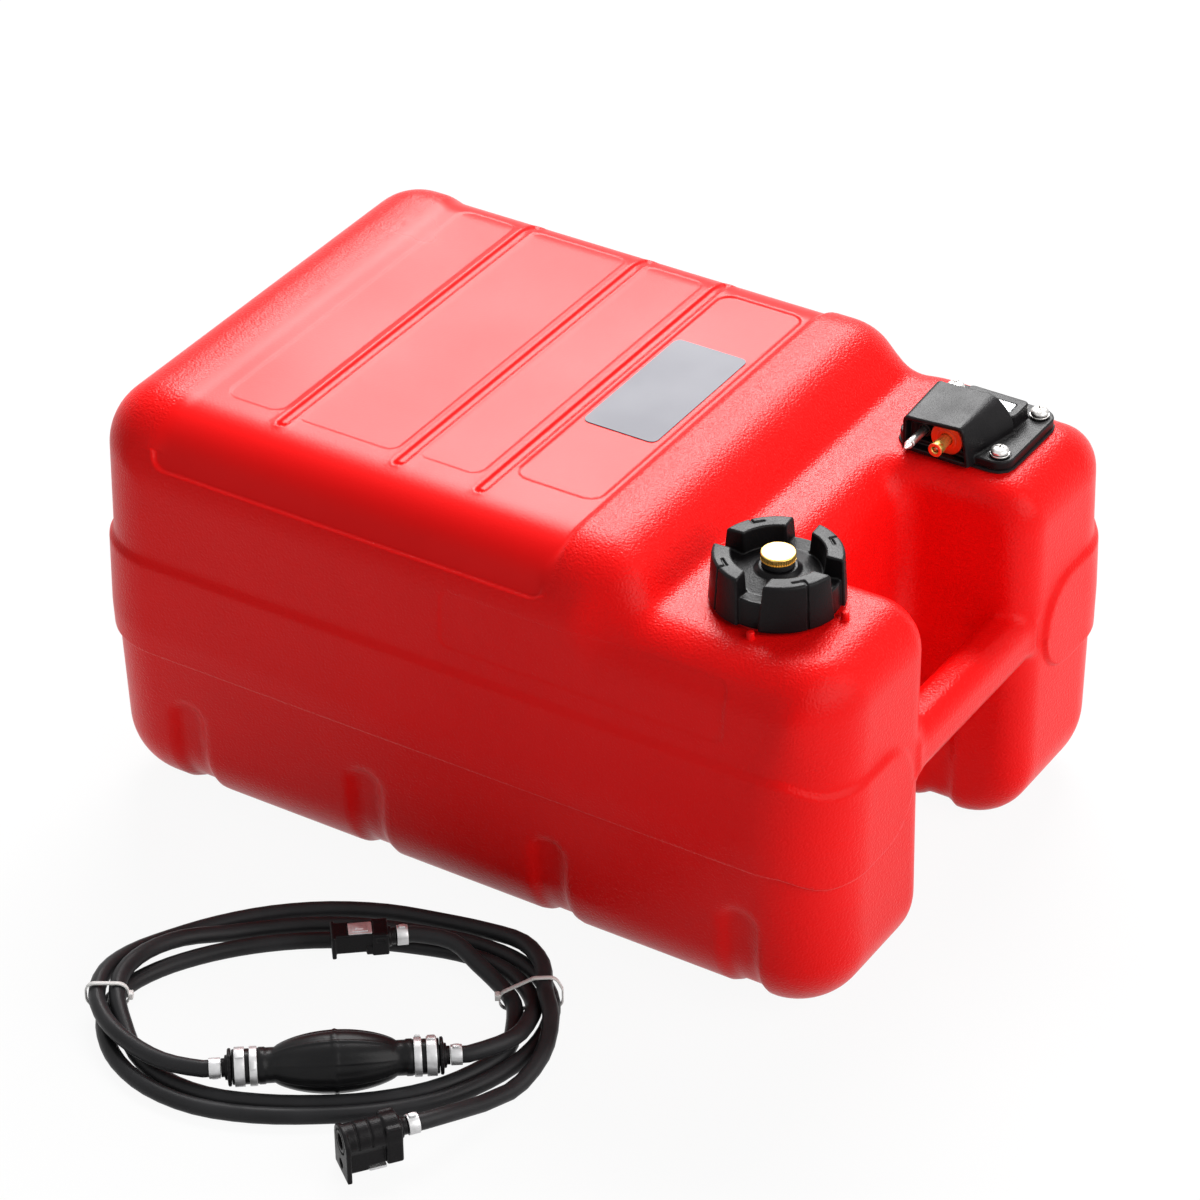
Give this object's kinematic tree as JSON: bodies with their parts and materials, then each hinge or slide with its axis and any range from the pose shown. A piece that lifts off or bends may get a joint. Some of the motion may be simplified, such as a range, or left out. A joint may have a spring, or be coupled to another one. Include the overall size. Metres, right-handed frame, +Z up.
{
  "type": "outboard fuel tank",
  "caption": "Low moulded fuel tank with a grip bar between two legs, lobed filler cap, fuel meter with outlet hood, and a coiled fuel line with a primer bulb.",
  "frame": {"origin": "on the floor under the middle of the tank, without the fuel line", "axes": "+X towards the grip bar, +Y towards the fuel meter, +Z up"},
  "size_m": [0.442, 0.5097, 0.2351],
  "materials": {
    "red_plastic": "moulded with a fine orange-peel grain, satin",
    "black_plastic": "satin",
    "black_rubber": "soft satin",
    "red_rubber": "satin",
    "grey_label": "satin, blank",
    "brass": "turned and knurled",
    "steel": "bright",
    "white_plastic": "satin",
    "clear_plastic": "clear"
  },
  "bodies": {
    "tank": {"tank_shell": "red_plastic", "label_plate": "grey_label", "meter_housing": "black_plastic", "meter_gasket": "black_rubber", "meter_window": "clear_plastic", "gauge_dial": "white_plastic", "fuel_spigot": "brass", "spigot_seal": "red_rubber", "guide_pin": "steel", "pickup_tube": "black_plastic", "pickup_strainer": "white_plastic", "screw_washer_1": "steel", "screw_washer_2": "steel", "screw_washer_3": "steel", "screw_washer_4": "steel", "housing_screw_1": "steel", "housing_screw_2": "steel", "housing_screw_3": "steel", "housing_screw_4": "steel", "hose_engine_side": "black_rubber", "hose_tank_side": "black_rubber", "primer_bulb": "black_rubber", "bulb_inlet_fitting": "black_plastic", "bulb_outlet_fitting": "black_plastic", "bulb_band_1": "steel", "bulb_band_2": "steel", "bulb_band_3": "steel", "bulb_band_4": "steel", "hose_clamp_1": "steel", "hose_clamp_2": "steel", "hose_clamp_3": "steel", "hose_clamp_4": "steel", "engine_connector_body": "black_plastic", "engine_latch_spring": "steel", "tank_connector_body": "black_plastic", "tank_latch_spring": "steel", "tie_left": "white_plastic", "tie_right": "white_plastic"},
    "gasket": {"cap_gasket": "black_rubber"},
    "cap": {"filler_cap": "black_plastic"},
    "washer": {"vent_washer": "black_rubber"},
    "air_screw": {"vent_screw": "brass"},
    "arm": {"float_arm": "steel", "float": "black_plastic"},
    "pointer": {"gauge_pointer": "red_rubber"},
    "engine_latch": {"engine_connector_latch": "steel"},
    "tank_latch": {"tank_connector_latch": "steel"},
    "inlet_valve": {"inlet_valve_disc": "black_rubber"},
    "outlet_valve": {"outlet_valve_disc": "black_rubber"}
  },
  "joints": [
    {"name": "cap_lift", "type": "slide", "parent": "tank", "child": "gasket", "axis": [0, 0, 1], "range_m": [0, 0.015]},
    {"name": "cap_turn", "type": "hinge", "parent": "gasket", "child": "cap", "pos_m": [0.1534, -0.0878, 0.21], "axis": [0, 0, 1], "range_deg": [0, 900]},
    {"name": "vent_lift", "type": "slide", "parent": "cap", "child": "washer", "axis": [0, 0, 1], "range_m": [0, 0.003]},
    {"name": "vent_turn", "type": "hinge", "parent": "washer", "child": "air_screw", "pos_m": [0.1534, -0.0878, 0.231], "axis": [0, 0, 1], "range_deg": [0, 720]},
    {"name": "float_swing", "type": "hinge", "parent": "tank", "child": "arm", "pos_m": [0.1576, 0.0985, 0.1876], "axis": [0, 1, 0], "range_deg": [0, 73]},
    {"name": "pointer_turn", "type": "hinge", "parent": "tank", "child": "pointer", "pos_m": [0.1674, 0.0977, 0.219], "axis": [0, 0, 1], "range_deg": [-73, 0]},
    {"name": "engine_latch_press", "type": "slide", "parent": "tank", "child": "engine_latch", "axis": [0, 0, -1], "range_m": [0, 0.001], "stiffness_N_per_m": 400, "springref_m": -0.0005, "deforming": ["engine_latch_spring"]},
    {"name": "tank_latch_press", "type": "slide", "parent": "tank", "child": "tank_latch", "axis": [0, 0, 1], "range_m": [0, 0.001], "stiffness_N_per_m": 400, "springref_m": -0.0005, "deforming": ["tank_latch_spring"]},
    {"name": "inlet_valve_lift", "type": "slide", "parent": "tank", "child": "inlet_valve", "axis": [0.8059, 0.592, 0], "range_m": [0, 0.0016]},
    {"name": "outlet_valve_lift", "type": "slide", "parent": "tank", "child": "outlet_valve", "axis": [0.8059, 0.592, 0], "range_m": [0, 0.0016]}
  ],
  "couplings": [
    {"joint": "cap_lift", "follows": "cap_turn", "m_per_rad": 0.00095493},
    {"joint": "vent_lift", "follows": "vent_turn", "m_per_rad": 0.00023873},
    {"joint": "pointer_turn", "follows": "float_swing", "ratio": -1}
  ]
}
